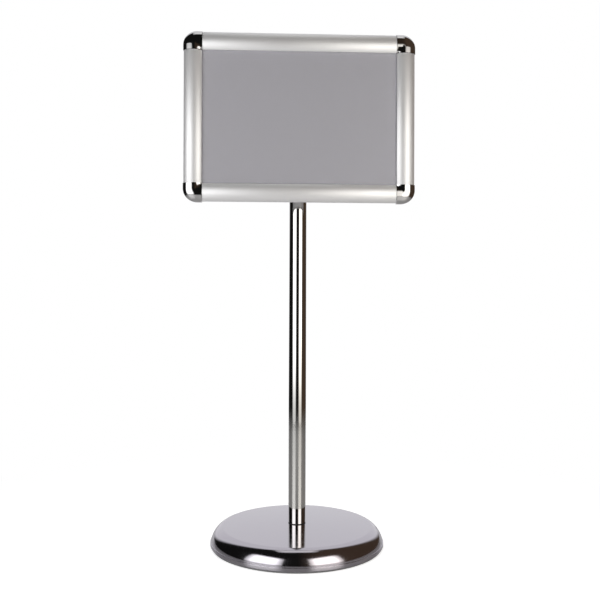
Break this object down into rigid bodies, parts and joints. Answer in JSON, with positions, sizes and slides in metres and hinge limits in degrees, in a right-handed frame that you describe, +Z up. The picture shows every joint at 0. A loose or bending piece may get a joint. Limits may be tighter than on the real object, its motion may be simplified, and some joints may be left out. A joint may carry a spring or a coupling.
{
  "type": "sign stand",
  "caption": "Pedestal sign stand: a snap-open landscape poster frame with chrome corner caps that tilts and turns on a polished pole with a weighted round base.",
  "frame": {"origin": "on the floor, on the pole's axis", "axes": "+Z up, the poster faces -Y, +X to the viewer's right"},
  "size_m": [0.3236, 0.25, 0.7268],
  "materials": {
    "chrome_cover": "spun stainless cover, mirror polished",
    "chrome_pole": "chrome-plated steel tube, mirror polished",
    "chrome_cap": "chrome-plated moulding, mirror bright",
    "cast_iron": "as cast, painted dark",
    "zinc_steel": "bright zinc plated",
    "satin_steel": "satin steel",
    "spring_steel": "blued spring steel",
    "anodised": "satin anodised extrusion",
    "soft_ring": "matt soft PVC",
    "nylon": "natural nylon",
    "knob_plastic": "fine-textured moulding",
    "brass": "turned",
    "panel_plastic": "fine-textured sheet",
    "paper": "uncoated card",
    "clear_sheet": "clear anti-glare PET sheet"
  },
  "bodies": {
    "pedestal": {"base_ring": "soft_ring", "base_shell": "chrome_cover", "base_bottom": "satin_steel", "base_weight": "cast_iron", "pole_bolt": "zinc_steel", "pole_bolt_washer": "zinc_steel", "pole_gasket": "soft_ring", "pole_foot": "satin_steel", "pole_tube": "chrome_pole", "pole_head": "chrome_pole"},
    "tilt_head": {"tilt_bracket": "satin_steel", "tilt_bolt": "zinc_steel", "tilt_washers": "nylon", "knob_washer": "zinc_steel", "turn_washer": "nylon"},
    "knob": {"tilt_knob": "knob_plastic", "knob_insert": "brass"},
    "frame": {"turn_bolt": "zinc_steel", "turn_spring_washer": "spring_steel", "turn_nut": "zinc_steel", "mount_plate": "satin_steel", "plate_rivets": "zinc_steel", "back_panel": "panel_plastic", "poster": "paper", "cover_sheet": "clear_sheet", "back_rail_top": "anodised", "back_rail_right": "anodised", "back_rail_bottom": "anodised", "back_rail_left": "anodised", "springs_top": "spring_steel", "springs_right": "spring_steel", "springs_bottom": "spring_steel", "springs_left": "spring_steel", "corner_key_top_right": "satin_steel", "corner_key_bottom_right": "satin_steel", "corner_key_bottom_left": "satin_steel", "corner_key_top_left": "satin_steel", "corner_cap_top_right": "chrome_cap", "corner_cap_bottom_right": "chrome_cap", "corner_cap_bottom_left": "chrome_cap", "corner_cap_top_left": "chrome_cap", "corner_screws": "zinc_steel"},
    "rail_top": {"snap_rail_top": "anodised"},
    "rail_right": {"snap_rail_right": "anodised"},
    "rail_bottom": {"snap_rail_bottom": "anodised"},
    "rail_left": {"snap_rail_left": "anodised"}
  },
  "joints": [
    {"name": "frame_tilt", "type": "hinge", "parent": "pedestal", "child": "tilt_head", "pos_m": [0, 0, 0.6085], "axis": [-1, 0, 0], "range_deg": [0, 90]},
    {"name": "knob_turn", "type": "hinge", "parent": "tilt_head", "child": "knob", "pos_m": [0.02, 0, 0.6085], "axis": [1, 0, 0], "continuous": true},
    {"name": "frame_turn", "type": "hinge", "parent": "tilt_head", "child": "frame", "pos_m": [0, -0.028, 0.6085], "axis": [0, 1, 0], "range_deg": [-90, 90]},
    {"name": "rail_top_open", "type": "hinge", "parent": "frame", "child": "rail_top", "pos_m": [0, -0.045, 0.7234], "axis": [-1, 0, 0], "range_deg": [0, 100]},
    {"name": "rail_right_open", "type": "hinge", "parent": "frame", "child": "rail_right", "pos_m": [0.1584, -0.045, 0.6085], "axis": [0, 0, 1], "range_deg": [0, 100]},
    {"name": "rail_bottom_open", "type": "hinge", "parent": "frame", "child": "rail_bottom", "pos_m": [0, -0.045, 0.4936], "axis": [1, 0, 0], "range_deg": [0, 100]},
    {"name": "rail_left_open", "type": "hinge", "parent": "frame", "child": "rail_left", "pos_m": [-0.1584, -0.045, 0.6085], "axis": [0, 0, -1], "range_deg": [0, 100]}
  ]
}
